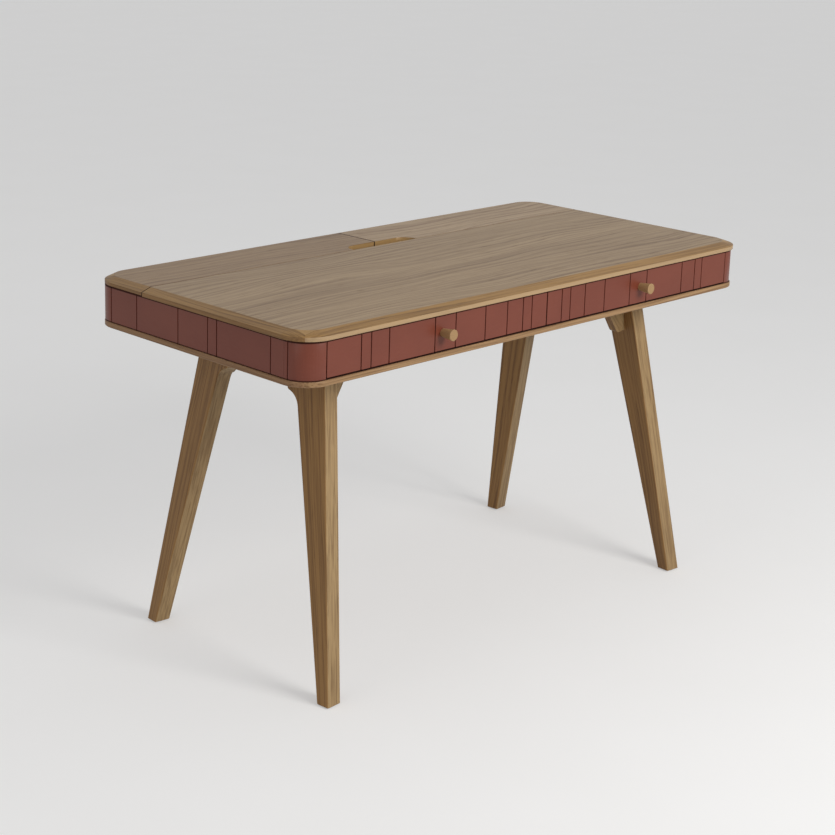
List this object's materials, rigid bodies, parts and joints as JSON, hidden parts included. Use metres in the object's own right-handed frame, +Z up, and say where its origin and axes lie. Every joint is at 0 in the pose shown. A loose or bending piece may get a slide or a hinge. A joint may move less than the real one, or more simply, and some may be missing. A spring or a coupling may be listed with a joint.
{
  "type": "desk",
  "caption": "Writing desk with rounded oak top, two-drawer painted grooved band, rear flaps over a cable compartment, splayed tapered legs and corbels.",
  "frame": {"origin": "on the floor, under the middle of the desk's overall box (knobs included)", "axes": "+X to the right along the front, the drawers and knobs face -Y, +Z up"},
  "size_m": [1.3, 0.6466, 0.75],
  "materials": {
    "oak_top": "oiled oak, fine straight grain along X, matte",
    "oak_solid": "oiled solid oak, satin",
    "red_paint": "terracotta paint on wood, satin, a little grain showing",
    "birch_board": "lacquered birch plywood",
    "zinc_steel": "zinc-plated steel",
    "glide_plastic": "dark plastic glide",
    "grommet_plastic": "dark matte plastic"
  },
  "bodies": {
    "carcass": {"desk_top": "oak_top", "bottom_panel": "oak_solid", "back_panel": "red_paint", "left_side_panel": "red_paint", "right_side_panel": "red_paint", "front_left_post": "red_paint", "front_right_post": "red_paint", "rear_left_post": "red_paint", "rear_right_post": "red_paint", "centre_divider": "birch_board", "compartment_partition": "birch_board", "left_runner_board": "birch_board", "right_runner_board": "birch_board", "left_flap_rest": "birch_board", "right_flap_rest": "birch_board", "front_left_leg": "oak_solid", "front_right_leg": "oak_solid", "rear_left_leg": "oak_solid", "rear_right_leg": "oak_solid", "front_left_corbel": "oak_solid", "front_right_corbel": "oak_solid", "rear_left_corbel": "oak_solid", "rear_right_corbel": "oak_solid", "leg_bolts": "zinc_steel", "foot_glides": "glide_plastic", "cable_grommet": "grommet_plastic", "left_drawer_outer_slides": "zinc_steel", "right_drawer_outer_slides": "zinc_steel", "left_flap_fixed_leaves": "zinc_steel", "right_flap_fixed_leaves": "zinc_steel", "left_flap_pins": "zinc_steel", "right_flap_pins": "zinc_steel", "left_flap_fixed_screws": "zinc_steel", "right_flap_fixed_screws": "zinc_steel"},
    "left_drawer": {"left_drawer_front": "red_paint", "left_drawer_left_side": "birch_board", "left_drawer_right_side": "birch_board", "left_drawer_back": "birch_board", "left_drawer_bottom": "birch_board", "left_knob": "oak_solid", "left_knob_screw": "zinc_steel", "left_drawer_inner_slides": "zinc_steel"},
    "right_drawer": {"right_drawer_front": "red_paint", "right_drawer_left_side": "birch_board", "right_drawer_right_side": "birch_board", "right_drawer_back": "birch_board", "right_drawer_bottom": "birch_board", "right_knob": "oak_solid", "right_knob_screw": "zinc_steel", "right_drawer_inner_slides": "zinc_steel"},
    "left_flap": {"left_flap": "oak_top", "left_flap_moving_leaves": "zinc_steel", "left_flap_moving_screws": "zinc_steel"},
    "right_flap": {"right_flap": "oak_top", "right_flap_moving_leaves": "zinc_steel", "right_flap_moving_screws": "zinc_steel"}
  },
  "joints": [
    {"name": "left_drawer_slide", "type": "slide", "parent": "carcass", "child": "left_drawer", "axis": [0, -1, 0], "range_m": [0, 0.3]},
    {"name": "right_drawer_slide", "type": "slide", "parent": "carcass", "child": "right_drawer", "axis": [0, -1, 0], "range_m": [0, 0.3]},
    {"name": "left_flap_hinge", "type": "hinge", "parent": "carcass", "child": "left_flap", "pos_m": [-0.325, 0.3203, 0.7342], "axis": [-1, 0, 0], "range_deg": [0, 105]},
    {"name": "right_flap_hinge", "type": "hinge", "parent": "carcass", "child": "right_flap", "pos_m": [0.325, 0.3203, 0.7342], "axis": [-1, 0, 0], "range_deg": [0, 105]}
  ]
}
